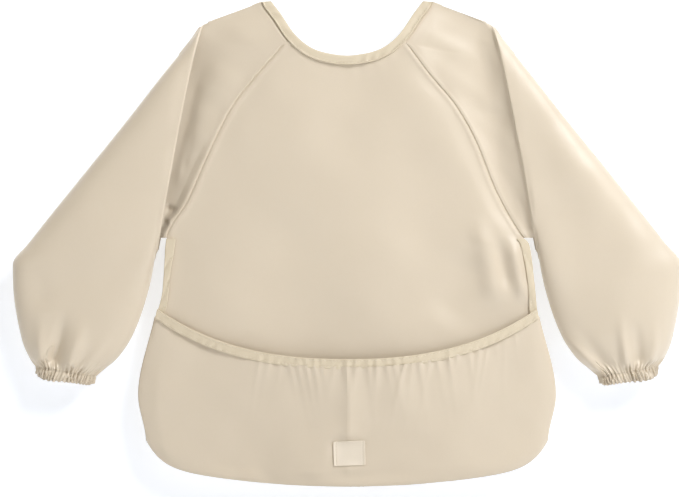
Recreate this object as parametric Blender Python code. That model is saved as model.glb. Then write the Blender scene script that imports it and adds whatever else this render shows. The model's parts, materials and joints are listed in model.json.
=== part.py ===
"""Child's long-sleeved smock bib, spread out flat and standing upright.

Frame: metres, +Z toward the neck, the front faces -Y, +X is the wearer's left.
Origin: under the lowest point of the hem, on the centre line, midway between the
frontmost and the rearmost face. The depths below are counted from the middle of the
sleeves, and everything then moves back by DEPTH_SHIFT.
Each fabric piece is a thin closed solid. The garment is drawn a little lofted, as
coated fabric lies when nobody wears it, so there is room for an arm in each sleeve.
"""

import math

import bmesh
import bpy
from mathutils import Matrix, Vector

# Driving dimensions.
DEPTH_SHIFT = 0.0039       # from the middle of the sleeves to the middle of the whole depth
FABRIC = 0.0014            # thickness of a fabric sheet with its seam allowances
GAP = 0.0006               # clearance between neighbouring pieces
HEM_SAG = 0.017            # rise of the hem from the centre to the side, as a parabola
HEM_CORNER = 0.020         # further rise of the rounded hem corner
HEM_CORNER_POWER = 14
BODY_LOFT = 0.008          # how far the front panel stands proud at its middle
BODY_EDGE_Y = -0.004       # front face of the body at its side edge
BODY_HALF_WIDTH = 0.172
BACK_Y = 0.008             # inner face of the back pieces
SHOULDER_FADE = 0.035      # height over which the loft dies out at the shoulder
UNDERARM_Z = 0.204         # hem of the short back
NECK_POINT = (0.0705, 0.3985)
SHOULDER_CORNER = (0.115, 0.3815)
CREASE_FOOT = (0.1575, 0.1915)
CREASE_BOW = 0.0095
BINDING = 0.008            # visible width of the bound neck and pocket edges
BINDING_DEPTH = 0.003
SIDE_BINDING = 0.006
POCKET_MOUTH_Z = 0.1045    # bound edge of the pocket on the centre line
POCKET_MOUTH_RISE = 0.041  # how much higher the mouth is at the side seams
POCKET_LOFT = 0.008
LABEL = (0.026, 0.020, 0.0008)
LABEL_CENTRE = (0.002, 0.027)
LABEL_TILT = math.radians(2.0)
CUFF_HALF_DEPTH = 0.010
CUFF_HEIGHT = 0.0095
ELASTIC_HEIGHT = 0.006
ELASTIC_THICKNESS = 0.0009
TAB = (0.046, 0.022)
TAB_HINGE_X = 0.014
PATCH = (0.024, 0.016)
PATCH_THICKNESS = 0.0012
PATCH_X = -0.018
TAB_CORNER = 0.006
CLOSURE_Z = 0.318
TIE_LENGTH = 0.200
TIE_WIDTH = 0.012
TIE_ROOT = (0.146, 0.178)
TIE_SLOPE = math.radians(50.0)

SIDES = {"left": 1.0, "right": -1.0}

# Outlines as (height, half width) or (x, z), for the wearer's left half.
BODY_SIDE = (
    (0.000, 0.1650), (0.037, 0.1652), (0.074, 0.1716), (0.149, 0.1560),
    (0.169, 0.1540), (0.204, 0.1490), (0.231, 0.1300), (0.270, 0.1150),
    (0.304, 0.1000), (0.331, 0.0780), (0.363, 0.0520),
)
NECK_INNER = ((0.0, 0.353), (0.024, 0.3575), (0.042, 0.370), (0.054, 0.388), (0.0625, 0.399))
NECK_BACK = ((0.002, 0.338), (0.028, 0.343), (0.046, 0.358), (0.057, 0.378), (0.0615, 0.394))
RAGLAN_TOP = 0.3625        # where the front raglan seam runs into the neck binding
BACK_RAGLAN = ((0.1480, 0.2040), (0.0745, 0.3900))
SLEEVE_OUTER = (
    (0.00, 0.1160, 0.3800), (0.50, 0.2620, 0.2010), (0.59, 0.2762, 0.1820),
    (0.69, 0.2758, 0.1630), (0.86, 0.2690, 0.1210), (0.95, 0.2630, 0.1060), (1.00, 0.2560, 0.0985),
)
SLEEVE_INNER = (
    (0.00, 0.1582, 0.1905), (0.25, 0.1612, 0.1720), (0.50, 0.1672, 0.1490),
    (0.75, 0.1772, 0.1230), (0.90, 0.1900, 0.1040), (1.00, 0.2080, 0.0900),
)
SLEEVE_DEPTH = ((0.0, 0.0125), (0.5, 0.0145), (0.85, 0.0135), (1.0, 0.0105))


# ---------------------------------------------------------------- small maths

def smoothstep(low, high, value):
    t = min(max((value - low) / (high - low), 0.0), 1.0)
    return t * t * (3.0 - 2.0 * t)


def interpolate(table, key):
    """Smooth value through (key, value...) rows, without overshoot between them."""
    keys = [row[0] for row in table]
    if key <= keys[0]:
        return table[0][1:]
    if key >= keys[-1]:
        return table[-1][1:]
    i = max(k for k in range(len(keys) - 1) if keys[k] <= key)
    step = keys[i + 1] - keys[i]
    t = (key - keys[i]) / step
    result = []
    for column in range(1, len(table[0])):
        a, b = table[i][column], table[i + 1][column]
        ma = tangent(table, i, column) * step
        mb = tangent(table, i + 1, column) * step
        h = t * t * (3.0 - 2.0 * t)
        result.append(a * (1 - h) + b * h + ma * t * (1 - t) ** 2 - mb * t * t * (1 - t))
    return tuple(result)


def tangent(table, i, column):
    """Slope at row i: the harmonic mean of its neighbours' slopes, or zero at a turn."""
    def slope(k):
        return (table[k + 1][column] - table[k][column]) / (table[k + 1][0] - table[k][0])
    if i == 0:
        return slope(0)
    if i == len(table) - 1:
        return slope(len(table) - 2)
    before, after = slope(i - 1), slope(i)
    if before * after <= 0.0:
        return 0.0
    return 2.0 * before * after / (before + after)


def along(points, t):
    """Point at fraction t of a polyline, smoothed through its corners."""
    table = [(k / (len(points) - 1), *p) for k, p in enumerate(points)]
    return interpolate(table, t)


def polyline(points, count):
    return [along(points, k / count) for k in range(count + 1)]


def mirrored(line, sign):
    return [(sign * x, z) for x, z in line]


def offset_line(line, distance):
    """Line moved sideways, to the right of its direction of travel."""
    moved = []
    for k, (x, z) in enumerate(line):
        before = line[max(k - 1, 0)]
        after = line[min(k + 1, len(line) - 1)]
        direction = Vector((after[0] - before[0], after[1] - before[1])).normalized()
        moved.append((x + direction.y * distance, z - direction.x * distance))
    return moved


# ------------------------------------------------------------- garment surface

def body_half_width(z):
    return interpolate(BODY_SIDE, z)[0]


def hem_height(t):
    """Height of the hem at the fraction t of the half width."""
    return HEM_SAG * t * t + HEM_CORNER * abs(t) ** HEM_CORNER_POWER


def shoulder_line(x):
    """Height of the fold that joins front and back, beside the neck."""
    (xa, za), (xb, zb) = NECK_POINT, SHOULDER_CORNER
    t = min(max((abs(x) - xa) / (xb - xa), 0.0), 1.6)
    return za + (zb - za) * t


def front_y(x, z):
    """Front face of the body: a shallow pillow that closes at the shoulder fold."""
    across = max(0.0, 1.0 - (x / BODY_HALF_WIDTH) ** 2)
    below = smoothstep(0.0, SHOULDER_FADE, shoulder_line(x) - z)
    return (BODY_EDGE_Y - BODY_LOFT * across) * (0.45 + 0.55 * below)


def back_y(x, z):
    """Inner face of the back, flat except where it rises to the shoulder fold."""
    return BACK_Y * (0.30 + 0.70 * smoothstep(0.0, SHOULDER_FADE, shoulder_line(x) - z))


def neck_line(drop):
    """The front neck edge from right to left, moved down by drop and squared off at its ends."""
    half = polyline(NECK_INNER, 9)
    line = offset_line(mirrored(half[::-1], -1.0) + half[1:], drop)
    if drop > 0.0:
        x, z = NECK_POINT[0] + drop - BINDING, NECK_POINT[1]
        line[0], line[-1] = (-x, z), (x, z)
    return line


def shoulder_seam():
    """Inner edge of the front shoulder: up the raglan seam, then along the neck binding."""
    steps = 8
    raglan = []
    for k in range(steps + 1):
        z = UNDERARM_Z + (RAGLAN_TOP - UNDERARM_Z) * k / steps
        raglan.append((body_half_width(z) + 1.5 * GAP, z))
    neck = [(x, z) for x, z in neck_line(BINDING + GAP) if x > 0.0 and z > RAGLAN_TOP + 2 * GAP]
    return raglan + neck


def crease_point(c):
    """Point of the fold between shoulder and sleeve, from the shoulder down."""
    (xa, za), (xb, zb) = SHOULDER_CORNER, CREASE_FOOT
    bow = CREASE_BOW * (1.0 - c) * c ** 0.2
    return xa + (xb - xa) * c + bow, za + (zb - za) * c


def pocket_mouth(t):
    return POCKET_MOUTH_Z + POCKET_MOUTH_RISE * abs(t) ** 2.3


def pocket_y(x, z):
    """Front face of the pocket, bulging away from the front panel toward its mouth."""
    across = max(0.0, 1.0 - (x / BODY_HALF_WIDTH) ** 2)
    loft = POCKET_LOFT * across * smoothstep(0.0, POCKET_MOUTH_Z, z)
    return front_y(x, z) - FABRIC - GAP - loft


# -------------------------------------------------------------------- meshing

def material(name, colour, roughness=0.55, metallic=0.0):
    mat = bpy.data.materials.new(name)
    mat.use_nodes = True
    shader = mat.node_tree.nodes["Principled BSDF"]
    shader.inputs["Base Color"].default_value = (*colour, 1.0)
    shader.inputs["Roughness"].default_value = roughness
    shader.inputs["Metallic"].default_value = metallic
    mat.diffuse_color = (*colour, 1.0)
    return mat


def pivot(name, location):
    empty = bpy.data.objects.new(name, None)
    empty.empty_display_size = 0.02
    empty.location = Vector(location) + Vector((0.0, DEPTH_SHIFT, 0.0))
    bpy.context.scene.collection.objects.link(empty)
    return empty


def add_solid(name, bm, mat, parent=None):
    """Finish a mesh as one object, placed on its parent's axis.

    The mesh is given in metres, with its depth counted from the middle of the sleeves.
    """
    bmesh.ops.triangulate(bm, faces=bm.faces[:])
    bmesh.ops.recalc_face_normals(bm, faces=bm.faces[:])
    if bm.calc_volume(signed=True) < 0.0:
        bmesh.ops.reverse_faces(bm, faces=bm.faces[:])
    shift = Vector((0.0, DEPTH_SHIFT, 0.0))
    if parent is not None:
        move = Matrix.Translation(shift - parent.location)
        bmesh.ops.transform(bm, matrix=move, verts=bm.verts[:])
    mesh = bpy.data.meshes.new(name)
    bm.to_mesh(mesh)
    bm.free()
    mesh.materials.append(mat)
    mesh.shade_smooth()
    mesh.set_sharp_from_angle(angle=math.radians(35.0))
    obj = bpy.data.objects.new(name, mesh)
    obj.parent = parent
    if parent is None:
        obj.location = shift
    bpy.context.scene.collection.objects.link(obj)
    return obj


def close_grid(bm, front, back, wrap=False):
    """Faces of a solid between two grids of vertices; wrap joins the last column to the first."""
    rows, columns = len(front), len(front[0])
    last = columns if wrap else columns - 1
    for r in range(rows - 1):
        for c in range(last):
            d = (c + 1) % columns
            bm.faces.new((front[r][c], front[r][d], front[r + 1][d], front[r + 1][c]))
            bm.faces.new((back[r][c], back[r + 1][c], back[r + 1][d], back[r][d]))
    for r in (0, rows - 1):
        for c in range(last):
            d = (c + 1) % columns
            bm.faces.new((front[r][c], back[r][c], back[r][d], front[r][d]))
    if not wrap:
        for c in (0, columns - 1):
            for r in range(rows - 1):
                bm.faces.new((front[r][c], front[r + 1][c], back[r + 1][c], back[r][c]))


def sheet(name, grid, thickness, mat, parent=None):
    """Solid sheet: a grid of front points, thickened toward +Y."""
    bm = bmesh.new()
    front = [[bm.verts.new(p) for p in row] for row in grid]
    back = [[bm.verts.new((x, y + thickness, z)) for x, y, z in row] for row in grid]
    close_grid(bm, front, back)
    return add_solid(name, bm, mat, parent)


def ruled_grid(line_a, line_b, columns, surface):
    """Rows of points between two lines of (x, z), laid on a surface y(x, z)."""
    grid = []
    for (xa, za), (xb, zb) in zip(line_a, line_b):
        row = []
        for k in range(columns + 1):
            t = k / columns
            x, z = xa + (xb - xa) * t, za + (zb - za) * t
            row.append((x, surface(x, z), z))
        grid.append(row)
    return grid


def body_grid(bottom, top, surface, columns, rows, inset=0.0):
    """Grid that follows the body's side outline between two edges given as z(t).

    Its columns crowd toward the sides, where the hem corners are.
    """
    grid = []
    for r in range(rows + 1):
        row = []
        for c in range(columns + 1):
            t = math.sin(math.pi * (c / columns - 0.5))
            low, high = bottom(t), top(t)
            z = low + (high - low) * r / rows
            x = t * (body_half_width(z) - inset)
            row.append((x, surface(x, z), z))
        grid.append(row)
    return grid


def rounded_patch(name, centre, size, y_range, mat, parent=None, tilt=0.0, radius=0.003):
    """Flat rectangle with rounded corners in the XZ plane, between two values of y."""
    bm = bmesh.new()
    outline = []
    for k, (sx, sz) in enumerate(((1, 1), (-1, 1), (-1, -1), (1, -1))):
        for step in range(4):
            angle = math.pi / 2 * (k + step / 3)
            x = sx * (size[0] / 2 - radius) + radius * math.cos(angle)
            z = sz * (size[1] / 2 - radius) + radius * math.sin(angle)
            outline.append((x * math.cos(tilt) - z * math.sin(tilt) + centre[0],
                            x * math.sin(tilt) + z * math.cos(tilt) + centre[1]))
    near = [bm.verts.new((x, y_range[0], z)) for x, z in outline]
    far = [bm.verts.new((x, y_range[1], z)) for x, z in outline]
    bm.faces.new(near)
    bm.faces.new(far[::-1])
    for k in range(len(outline)):
        n = (k + 1) % len(outline)
        bm.faces.new((near[k], far[k], far[n], near[n]))
    return add_solid(name, bm, mat, parent)


# --------------------------------------------------------------------- pieces

def build_front_panel(mat):
    def top(t):
        return 0.3435 + 0.0185 * abs(t) ** 1.6
    grid = body_grid(hem_height, top, front_y, 16, 16, GAP)
    sheet("front_panel", grid, FABRIC, mat)


def build_shoulder(side, mat):
    """Front and back of the raglan shoulder, from its seam out to the sleeve's fold."""
    sign = SIDES[side]
    inner = shoulder_seam()
    rows = len(inner) - 1
    outer = [crease_point(0.935 * (1.0 - k / rows)) for k in range(rows + 1)]
    outer = [(x - GAP, z) for x, z in outer]
    grid = ruled_grid(mirrored(inner, sign), mirrored(outer, sign), 4, front_y)
    sheet(f"shoulder_front_{side}", grid, FABRIC, mat)
    seam = polyline(BACK_RAGLAN, rows)
    seam = [(x + GAP, z) for x, z in seam]
    grid = ruled_grid(mirrored(seam, sign), mirrored(outer, sign), 4, back_y)
    sheet(f"shoulder_back_{side}", grid, FABRIC, mat)


def build_back_panel(side, mat, parent):
    """Half of the short back: open down the middle, sewn to the shoulder at its raglan seam."""
    sign = SIDES[side]
    neck = offset_line(polyline(NECK_BACK, 9), BINDING)
    rows = len(neck) + 3
    seam = [(x - GAP, z) for x, z in polyline(BACK_RAGLAN, rows)]
    centre = [(0.002, UNDERARM_Z + (neck[0][1] - UNDERARM_Z) * k / 4) for k in range(5)]
    inner = centre[:-1] + neck
    grid = ruled_grid(mirrored(inner, sign), mirrored(seam, sign), 5, back_y)
    sheet(f"back_panel_{side}", grid, FABRIC, mat, parent)


def build_neck_binding(mat, back_pivots):
    """Folded tape round the neck: the front run, and one run along each back half."""
    grid = ruled_grid(neck_line(BINDING - GAP), neck_line(0.0), 1,
                      lambda x, z: front_y(x, z) - BINDING_DEPTH / 3)
    sheet("neck_binding_front", grid, BINDING_DEPTH, mat)
    for side, sign in SIDES.items():
        line = polyline(NECK_BACK, 9)
        low = offset_line(line, BINDING - GAP)
        grid = ruled_grid(mirrored(low, sign), mirrored(line, sign), 1,
                          lambda x, z: back_y(x, z) - BINDING_DEPTH / 4)
        sheet(f"neck_binding_back_{side}", grid, BINDING_DEPTH, mat, back_pivots[side])


def build_side_binding(side, mat):
    """Tape along the open side of the front, from the underarm into the pocket."""
    sign = SIDES[side]
    low, high = pocket_mouth(1.0) + GAP, UNDERARM_Z - 0.003
    outer = []
    for k in range(7):
        z = low + (high - low) * k / 6
        outer.append((body_half_width(z), z))
    inner = [(x - SIDE_BINDING, z) for x, z in outer]

    def surface(x, z):
        return front_y(x, z) - FABRIC - GAP
    grid = ruled_grid(mirrored(inner, sign), mirrored(outer, sign), 1, surface)
    sheet(f"side_binding_{side}", grid, FABRIC, mat)


def build_pocket(panel_mat, binding_mat, label_mat, parent):
    """Full-width pocket with a bound mouth and a blank woven label."""
    def top(t):
        return pocket_mouth(t) - BINDING - 1.5 * GAP
    sheet("pocket_panel", body_grid(hem_height, top, pocket_y, 14, 6), FABRIC, panel_mat, parent)

    def mouth_face(x, z):
        return pocket_y(x, z) - (BINDING_DEPTH - FABRIC) / 2
    grid = body_grid(lambda t: pocket_mouth(t) - BINDING, pocket_mouth, mouth_face, 18, 1)
    sheet("pocket_binding", grid, BINDING_DEPTH, binding_mat, parent)
    x, z = LABEL_CENTRE
    face = min(pocket_y(x, z + LABEL[1] / 2), pocket_y(x, z - LABEL[1] / 2)) - GAP
    rounded_patch("label_patch", LABEL_CENTRE, LABEL[:2], (face - LABEL[2], face),
                  label_mat, parent, LABEL_TILT, 0.0015)


def sleeve_point(side, v, c, depth):
    """Point of a sleeve: v runs from shoulder to cuff, c across from the outer edge."""
    xo, zo = interpolate(SLEEVE_OUTER, v)
    xi, zi = interpolate(SLEEVE_INNER, v)
    bow = CREASE_BOW * (1.0 - c) * c ** 0.2 * (1.0 - smoothstep(0.0, 0.35, v))
    x = xo + (xi - xo) * c + bow
    z = zo + (zi - zo) * c
    return Vector((SIDES[side] * x, depth, z))


def build_sleeve(side, mat, parent):
    """Sleeve as a hollow tube, open at the shoulder and at the cuff."""
    rings, steps = 10, 20
    bm = bmesh.new()
    skins = []
    for inset in (0.0, FABRIC):
        grid = []
        for r in range(rings + 1):
            v = r / rings
            depth = interpolate(SLEEVE_DEPTH, v)[0] - inset
            edge = inset / (sleeve_point(side, v, 0, 0) - sleeve_point(side, v, 1, 0)).length
            row = []
            for k in range(steps):
                angle = 2.0 * math.pi * k / steps
                c = 0.5 - (0.5 - edge) * math.cos(angle)
                row.append(bm.verts.new(sleeve_point(side, v, c, depth * math.sin(angle))))
            grid.append(row)
        skins.append(grid)
    close_grid(bm, skins[0], skins[1], wrap=True)
    add_solid(f"sleeve_{side}", bm, mat, parent)


def cuff_frame(side):
    """Centre, across and downward directions and half width of the sleeve's open end."""
    outer = sleeve_point(side, 1.0, 0.0, 0.0)
    inner = sleeve_point(side, 1.0, 1.0, 0.0)
    across = (outer - inner).normalized()
    down = across.cross(Vector((0.0, -SIDES[side], 0.0)))
    return (outer + inner) / 2, across, down, (outer - inner).length / 2


def ring(name, frame, profile, mat, parent, steps=28):
    """Closed profile of (inward, downward) points swept round the oval cuff."""
    centre, across, down, half_width = frame
    bm = bmesh.new()
    rows = []
    for k in range(steps):
        angle = 2.0 * math.pi * k / steps
        row = []
        for inward, drop in profile:
            p = centre + across * (half_width - inward) * math.cos(angle) + down * drop
            p.y += (CUFF_HALF_DEPTH - inward) * math.sin(angle)
            row.append(bm.verts.new(p))
        rows.append(row)
    count = len(profile)
    for k in range(steps):
        a, b = rows[k], rows[(k + 1) % steps]
        for j in range(count):
            m = (j + 1) % count
            bm.faces.new((a[j], a[m], b[m], b[j]))
    add_solid(name, bm, mat, parent)


def build_cuff(side, casing_mat, elastic_mat, parent):
    """Cuff hem folded up as a channel, with the elastic lying inside it."""
    frame = cuff_frame(side)
    wall = 0.0010
    channel = ELASTIC_THICKNESS + 2 * GAP
    top, foot = GAP, CUFF_HEIGHT
    casing = ((0.0, top), (0.0, foot), (2 * wall + channel, foot), (2 * wall + channel, top),
              (wall + channel, top), (wall + channel, foot - wall), (wall, foot - wall), (wall, top))
    ring(f"cuff_casing_{side}", frame, casing, casing_mat, parent)
    near, far = wall + GAP, wall + GAP + ELASTIC_THICKNESS
    low = foot - wall - GAP
    high = low - ELASTIC_HEIGHT
    elastic = ((near, high), (near, low), (far, low), (far, high))
    ring(f"cuff_elastic_{side}", frame, elastic, elastic_mat, parent)


def closure_layers():
    """The (inner, outer) values of y of the loop patch, the hook patch and the tab."""
    layers = []
    face = BACK_Y + FABRIC
    for thickness in (PATCH_THICKNESS, PATCH_THICKNESS, FABRIC):
        layers.append((face + GAP, face + GAP + thickness))
        face = layers[-1][1]
    return layers


def build_closure(fabric_mat, tape_mat, back_pivots, tab_pivot):
    """Neck closure: the left half's tab laps over the right half and grips its patch."""
    loop, hook, tab = closure_layers()
    rounded_patch("loop_patch", (PATCH_X, CLOSURE_Z), PATCH, loop, tape_mat, back_pivots["right"])
    rounded_patch("hook_patch", (PATCH_X, CLOSURE_Z), PATCH, hook, tape_mat, tab_pivot)
    rounded_patch("closure_tab", (TAB_HINGE_X - TAB[0] / 2, CLOSURE_Z), TAB, tab,
                  fabric_mat, tab_pivot, 0.0, TAB_CORNER)


def build_tie(side, mat, parent):
    """Waist tie, sewn at the open side and laid inward behind the front panel."""
    sign = SIDES[side]
    y = -0.0022 if side == "left" else 0.0002
    along_tie = Vector((-math.cos(TIE_SLOPE), -math.sin(TIE_SLOPE)))
    across = Vector((-along_tie.y, along_tie.x)) * TIE_WIDTH / 2
    centre = [Vector(TIE_ROOT) + along_tie * TIE_LENGTH * k / 8 for k in range(9)]
    grid = ruled_grid(mirrored([tuple(p + across) for p in centre], sign),
                      mirrored([tuple(p - across) for p in centre], sign), 1,
                      lambda x, z: y)
    sheet(f"waist_tie_{side}", grid, FABRIC, mat, parent)


def build_smock():
    coated = material("coated_fabric", (0.74, 0.655, 0.53), 0.50)
    binding = material("binding_tape", (0.71, 0.62, 0.47), 0.60)
    cuff = material("cuff_fabric", (0.72, 0.635, 0.50), 0.55)
    elastic = material("elastic_tape", (0.80, 0.78, 0.72), 0.80)
    label = material("woven_label", (0.80, 0.74, 0.62), 0.80)
    tape = material("hook_and_loop", (0.62, 0.55, 0.43), 0.90)

    build_front_panel(coated)
    pocket_pivot = pivot("pocket_axis", (0.0, front_y(0.0, 0.0), 0.0))
    build_pocket(coated, binding, label, pocket_pivot)
    back_pivots = {}
    for side, sign in SIDES.items():
        x, z = BACK_RAGLAN[0]
        back_pivots[side] = pivot(f"back_axis_{side}", (sign * x, BACK_Y + FABRIC, z))
        build_back_panel(side, coated, back_pivots[side])
        build_shoulder(side, coated)
        build_side_binding(side, binding)
        x, z = SHOULDER_CORNER
        sleeve_pivot = pivot(f"sleeve_axis_{side}", (sign * x, 0.0, z))
        build_sleeve(side, coated, sleeve_pivot)
        build_cuff(side, cuff, elastic, sleeve_pivot)
        x, z = TIE_ROOT
        build_tie(side, binding, pivot(f"tie_axis_{side}", (sign * x, 0.0, z)))
    build_neck_binding(binding, back_pivots)
    tab_pivot = pivot("tab_axis", (TAB_HINGE_X, closure_layers()[2][1], CLOSURE_Z))
    build_closure(coated, tape, back_pivots, tab_pivot)


for existing in list(bpy.data.objects):
    bpy.data.objects.remove(existing, do_unlink=True)
build_smock()
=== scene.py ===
"""Looks of a child's long-sleeved smock bib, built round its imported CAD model.

The helpers work in millimetres, in the CAD frame: +Z toward the neck, the front faces -Y,
+X is the wearer's left. Shape.build turns them into metres.
"""

import json
from math import cos, hypot, pi, radians, sin, sqrt

import bmesh
import bpy
import numpy as np
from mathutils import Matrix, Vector


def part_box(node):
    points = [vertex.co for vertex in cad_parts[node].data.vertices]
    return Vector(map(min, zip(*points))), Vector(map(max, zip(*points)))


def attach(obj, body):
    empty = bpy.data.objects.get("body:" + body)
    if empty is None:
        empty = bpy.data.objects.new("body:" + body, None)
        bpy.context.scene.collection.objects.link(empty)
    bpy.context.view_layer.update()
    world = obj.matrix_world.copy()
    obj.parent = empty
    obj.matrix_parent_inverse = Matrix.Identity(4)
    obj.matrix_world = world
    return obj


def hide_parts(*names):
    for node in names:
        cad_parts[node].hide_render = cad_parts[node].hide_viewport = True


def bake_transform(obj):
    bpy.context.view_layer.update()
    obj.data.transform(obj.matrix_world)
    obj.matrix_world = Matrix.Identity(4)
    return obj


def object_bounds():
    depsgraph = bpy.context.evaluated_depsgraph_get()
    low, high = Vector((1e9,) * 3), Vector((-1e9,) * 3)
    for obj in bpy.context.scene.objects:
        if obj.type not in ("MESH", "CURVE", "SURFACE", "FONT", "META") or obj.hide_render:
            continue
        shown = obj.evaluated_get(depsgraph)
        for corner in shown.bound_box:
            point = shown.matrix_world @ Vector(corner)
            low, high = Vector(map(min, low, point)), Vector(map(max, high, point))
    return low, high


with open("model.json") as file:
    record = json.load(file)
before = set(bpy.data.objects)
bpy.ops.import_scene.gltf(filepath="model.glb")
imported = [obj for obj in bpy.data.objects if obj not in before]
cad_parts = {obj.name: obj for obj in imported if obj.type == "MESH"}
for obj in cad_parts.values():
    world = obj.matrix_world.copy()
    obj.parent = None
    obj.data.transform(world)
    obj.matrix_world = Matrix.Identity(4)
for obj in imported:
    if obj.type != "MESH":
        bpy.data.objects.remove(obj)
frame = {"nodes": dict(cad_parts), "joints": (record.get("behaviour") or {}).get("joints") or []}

cad_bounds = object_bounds()

MM = 0.001  # metres in a millimetre
SIDES = {"left": 1.0, "right": -1.0}
joints = {j["name"]: [c / MM for c in j["pos_m"]] for j in frame["joints"]}

# The garment's pattern, in millimetres. A point is across (x), height (z); depths count from MID.
MID = joints["sleeve_left_swing"][1]  # middle of the sleeves, front to back
CLOTH = 0.55  # thickness of the visible cloth
HEM_SAG, HEM_CORNER, HEM_POWER = 17.0, 20.0, 14  # the hem rises to the sides
EDGE_Y, LOFT, HALF_WIDTH = -4.0, 8.0, 172.0  # the front's depth at its sides, and its swell
BACK_Y = 8.0  # depth of the back
FADE = 35.0  # the garment thins over this distance below the shoulder line
UNDERARM = 204.0
NECK_POINT = (70.5, 398.5)
CORNER = (115.0, 381.5)  # top of the crease between shoulder and sleeve
FOOT = (157.5, 191.5)  # its lower end
BOW = 9.5  # how far the crease bows outward
BAND = 8.0  # visible width of the bound edges
MOUTH, MOUTH_RISE, POCKET_LOFT = 104.5, 41.0, 8.0
RAGLAN_TOP = 362.5
BODY_SIDE = (  # height, half width
    (0, 165.0), (37, 165.2), (74, 171.6), (149, 156.0), (169, 154.0), (204, 149.0),
    (231, 130.0), (270, 115.0), (304, 100.0), (331, 78.0), (363, 52.0),
)
SEAM_LIE = {  # where each raglan seam lies: height, distance out
    "left": ((140, 156.5), (149, 156.0), (169, 154.0), (198, 150.0), (207, 143.0),
             (243, 122.6), (285, 105.6), (313, 89.6), (338, 68.5), (363, 49.5)),
    "right": ((140, 156.5), (150, 154.0), (160, 151.8), (180, 150.4), (204, 148.7),
              (235, 131.0), (268, 116.5), (311, 95.3), (333, 78.6), (363, 52.5)),
}
NECK_FRONT = ((0, 353), (24, 357.5), (42, 370), (54, 388), (62.5, 399))
NECK_BACK = ((2, 338), (28, 343), (46, 358), (57, 378), (61.5, 394))
BACK_SEAM = ((148.0, 204.0), (74.5, 390.0))
SLEEVE_OUTER = (  # fraction of the sleeve's length, across, height
    (0, 116, 380), (0.50, 262, 201), (0.59, 276.2, 182), (0.69, 275.8, 163),
    (0.86, 269, 121), (0.95, 263, 106), (1, 256, 98.5),
)
SLEEVE_INNER = (
    (0, 158.2, 190.5), (0.25, 161.2, 172), (0.50, 167.2, 149), (0.75, 177.2, 123),
    (0.90, 190, 104), (1, 208, 90),
)
SLEEVE_DEPTH = ((0, 12.5), (0.5, 14.5), (0.85, 13.5), (1, 10.5))  # half of its thickness
CUFF_HEIGHT = 9.5
CREASE_SHARE = 0.935  # part of the crease that the shoulder cloth reaches
FRONT_TOP, FRONT_TOP_RISE = 349.0, 17.5  # the front's top edge, hidden by the neck tape
TIE_LENGTH, TIE_HALF_WIDTH, TIE_SLOPE = 199.0, 5.8, 50.0
LABEL_HALF_SIZE, LABEL_TILT = (13.0, 10.0), 2.0
UNDERARM_BEND, UNDERARM_BEND_LENGTH = 5.8, 11.0  # outward from the crease

# The room, in metres.
FLOOR = -0.026  # below the hanging ties
FLOOR_REACH = 15.0
SHEET_GAP = 0.004  # from the garment's back to the sheet behind it
ROOM = (0.86, 0.87, 0.89, 1)
LAMPS = (  # name, place, diameter, watts, colour
    ("key", (1.25, -1.5, 1.85), 1.1, 54.5, (1.0, 1.01, 1.035)),
    ("fill", (-1.3, -2.2, 0.5), 1.4, 4.0, (0.97, 0.985, 1.0)),
    ("rear", (-0.9, 1.9, 1.3), 1.2, 20.0, (1.0, 0.99, 0.97)),
)
CAMERA_DISTANCE, VIEW_WIDTH = 2.5, 0.5602
CAMERA_SHIFT = (-0.0062, -0.0044)  # sideways and upward, from the garment's middle
SENSOR = 36.0  # millimetres


# ---- small maths

def smooth(low, high, value):
    t = np.clip((value - low) / (high - low), 0.0, 1.0)
    return t * t * (3.0 - 2.0 * t)


def bell(value, centre, width):
    """Smooth bump of height 1 round a value."""
    return np.exp(-((value - centre) / width) ** 2)


def eased(count):
    """count + 1 fractions from 0 to 1, closer together toward both ends."""
    return 0.5 - 0.5 * np.cos(pi * np.arange(count + 1) / count)


def curve(table, key):
    """Smooth values through (key, value...) rows, without overshoot, for an array of keys."""
    rows = np.asarray(table, float)
    keys, values = rows[:, 0], rows[:, 1:]
    key = np.clip(np.asarray(key, float), keys[0], keys[-1])
    slope = np.diff(values, axis=0) / np.diff(keys)[:, None]
    before, after = slope[:-1], slope[1:]
    total = np.where(before + after == 0.0, 1.0, before + after)
    middle = np.where(before * after > 0.0, 2.0 * before * after / total, 0.0)
    tangent = np.vstack([slope[:1], middle, slope[-1:]])
    i = np.clip(np.searchsorted(keys, key, side="right") - 1, 0, len(keys) - 2)
    step = (keys[i + 1] - keys[i])[..., None]
    t = (key - keys[i])[..., None] / step
    h = t * t * (3.0 - 2.0 * t)
    bend = tangent[i] * t * (1 - t) ** 2 - tangent[i + 1] * t * t * (1 - t)
    return values[i] * (1 - h) + values[i + 1] * h + bend * step


def along(points, t):
    """Points at fractions t of a polyline, smoothed through its corners."""
    keys = np.linspace(0.0, 1.0, len(points))
    return curve(np.column_stack([keys, points]), t)


def travel(line):
    """Distance along a polyline at each of its points."""
    return np.concatenate([[0.0], np.cumsum(np.linalg.norm(np.diff(line, axis=0), axis=1))])


def resample(line, count):
    """count points evenly spaced along a polyline, in any number of dimensions."""
    line = np.asarray(line, float)
    run = travel(line)
    at = np.linspace(0.0, run[-1], count)
    return np.column_stack([np.interp(at, run, line[:, k]) for k in range(line.shape[1])])


def offset(line, distance):
    """(x, z) line moved sideways, to the right of its direction of travel."""
    way = np.gradient(line, axis=0)
    way /= np.linalg.norm(way, axis=1)[:, None]
    return line + np.column_stack([way[:, 1], -way[:, 0]]) * distance


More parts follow.
